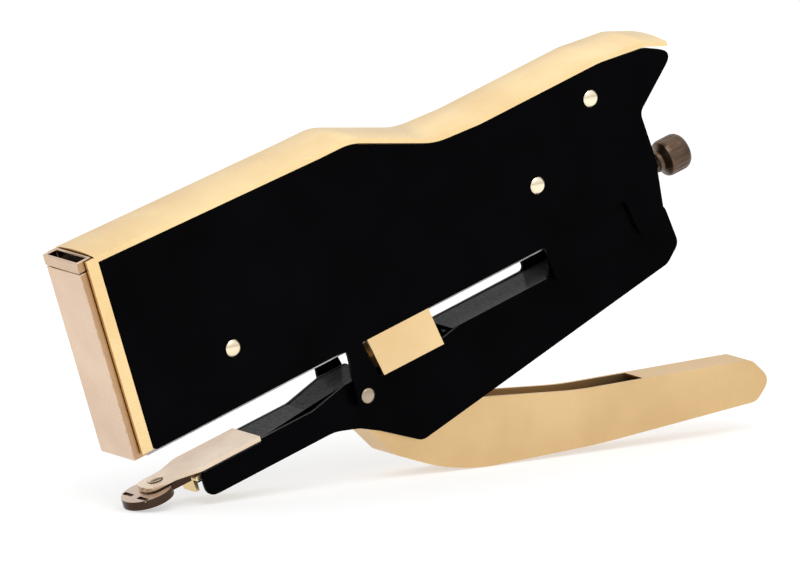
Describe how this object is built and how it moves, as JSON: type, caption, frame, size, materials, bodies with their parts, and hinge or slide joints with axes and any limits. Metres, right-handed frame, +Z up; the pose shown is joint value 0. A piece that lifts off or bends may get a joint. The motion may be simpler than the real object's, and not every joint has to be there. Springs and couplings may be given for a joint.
{
  "type": "plier stapler",
  "caption": "Hand plier stapler with a guide column, an anvil on a fixed lower arm and a sprung lever that tilts the head and drives a staple.",
  "frame": {"origin": "middle of the footprint of the whole stapler, at its lowest level, as it stands on its anvil and lever", "axes": "+X from the nose to the rear grip, +Y across the stapler towards its right cover, +Z up; the covers pitch up 18.3 degrees from nose to rear"},
  "size_m": [0.1662, 0.016, 0.083],
  "materials": {
    "body_plating": "bright gold plating",
    "black_enamel": "glossy black enamel",
    "nickel": "bright nickel",
    "bronze": "dark bronzed steel",
    "rivet_plating": "bright pale plating",
    "inner_steel": "plain steel",
    "lever_plating": "satin gold plating",
    "wire": "drawn wire",
    "knob_plating": "dark plating"
  },
  "bodies": {
    "frame": {"frame_shell": "body_plating", "left_cover": "black_enamel", "right_cover": "black_enamel", "lower_arm": "black_enamel", "anvil_arm": "nickel", "anvil": "bronze", "anvil_backing": "body_plating", "anvil_rivet": "nickel", "rivet_front": "rivet_plating", "rivet_middle": "rivet_plating", "rivet_rear": "rivet_plating", "spacer_front": "inner_steel", "spacer_middle": "inner_steel", "spacer_rear": "inner_steel", "lever_pin": "inner_steel", "rocker_pin": "inner_steel", "head_pin": "inner_steel"},
    "lever": {"lever": "lever_plating", "lever_spring": "wire"},
    "rocker": {"rocker": "inner_steel", "rocker_roller": "inner_steel"},
    "head": {"guide_column": "nickel", "column_collar": "nickel", "magazine_channel": "inner_steel", "magazine_rail": "inner_steel", "staple_stick": "wire", "magazine_end_plate": "inner_steel", "pusher_spring": "wire"},
    "driver": {"driver_blade": "inner_steel", "driver_block": "inner_steel"},
    "pusher": {"pusher": "inner_steel", "pull_rod": "wire", "rear_knob": "knob_plating"}
  },
  "joints": [
    {"name": "lever_squeeze", "type": "hinge", "parent": "frame", "child": "lever", "pos_m": [-0.01521, 0, 0.0183], "axis": [0, -1, 0], "range_deg": [0, 20], "stiffness_Nm_per_rad": 1.5, "springref_deg": -17.19, "deforming": ["lever_spring"]},
    {"name": "rocker_turn", "type": "hinge", "parent": "frame", "child": "rocker", "pos_m": [-0.02983, 0, 0.0457], "axis": [0, -1, 0], "range_deg": [0, 17.1]},
    {"name": "head_tilt", "type": "hinge", "parent": "frame", "child": "head", "pos_m": [0.03819, 0, 0.05656], "axis": [0, -1, 0], "range_deg": [0, 2.65]},
    {"name": "driver_slide", "type": "slide", "parent": "head", "child": "driver", "axis": [0.3132, 0, -0.9497], "range_m": [0, 0.00735]},
    {"name": "pusher_pull", "type": "slide", "parent": "head", "child": "pusher", "axis": [0.9497, 0, 0.3132], "range_m": [0, 0.045], "stiffness_N_per_m": 40, "springref_m": -0.02, "deforming": ["pusher_spring"]}
  ],
  "couplings": [
    {"joint": "rocker_turn", "follows": "lever_squeeze", "ratio": 0.85},
    {"joint": "head_tilt", "follows": "lever_squeeze", "ratio": 0.13},
    {"joint": "driver_slide", "follows": "lever_squeeze", "m_per_rad": 0.020913}
  ]
}
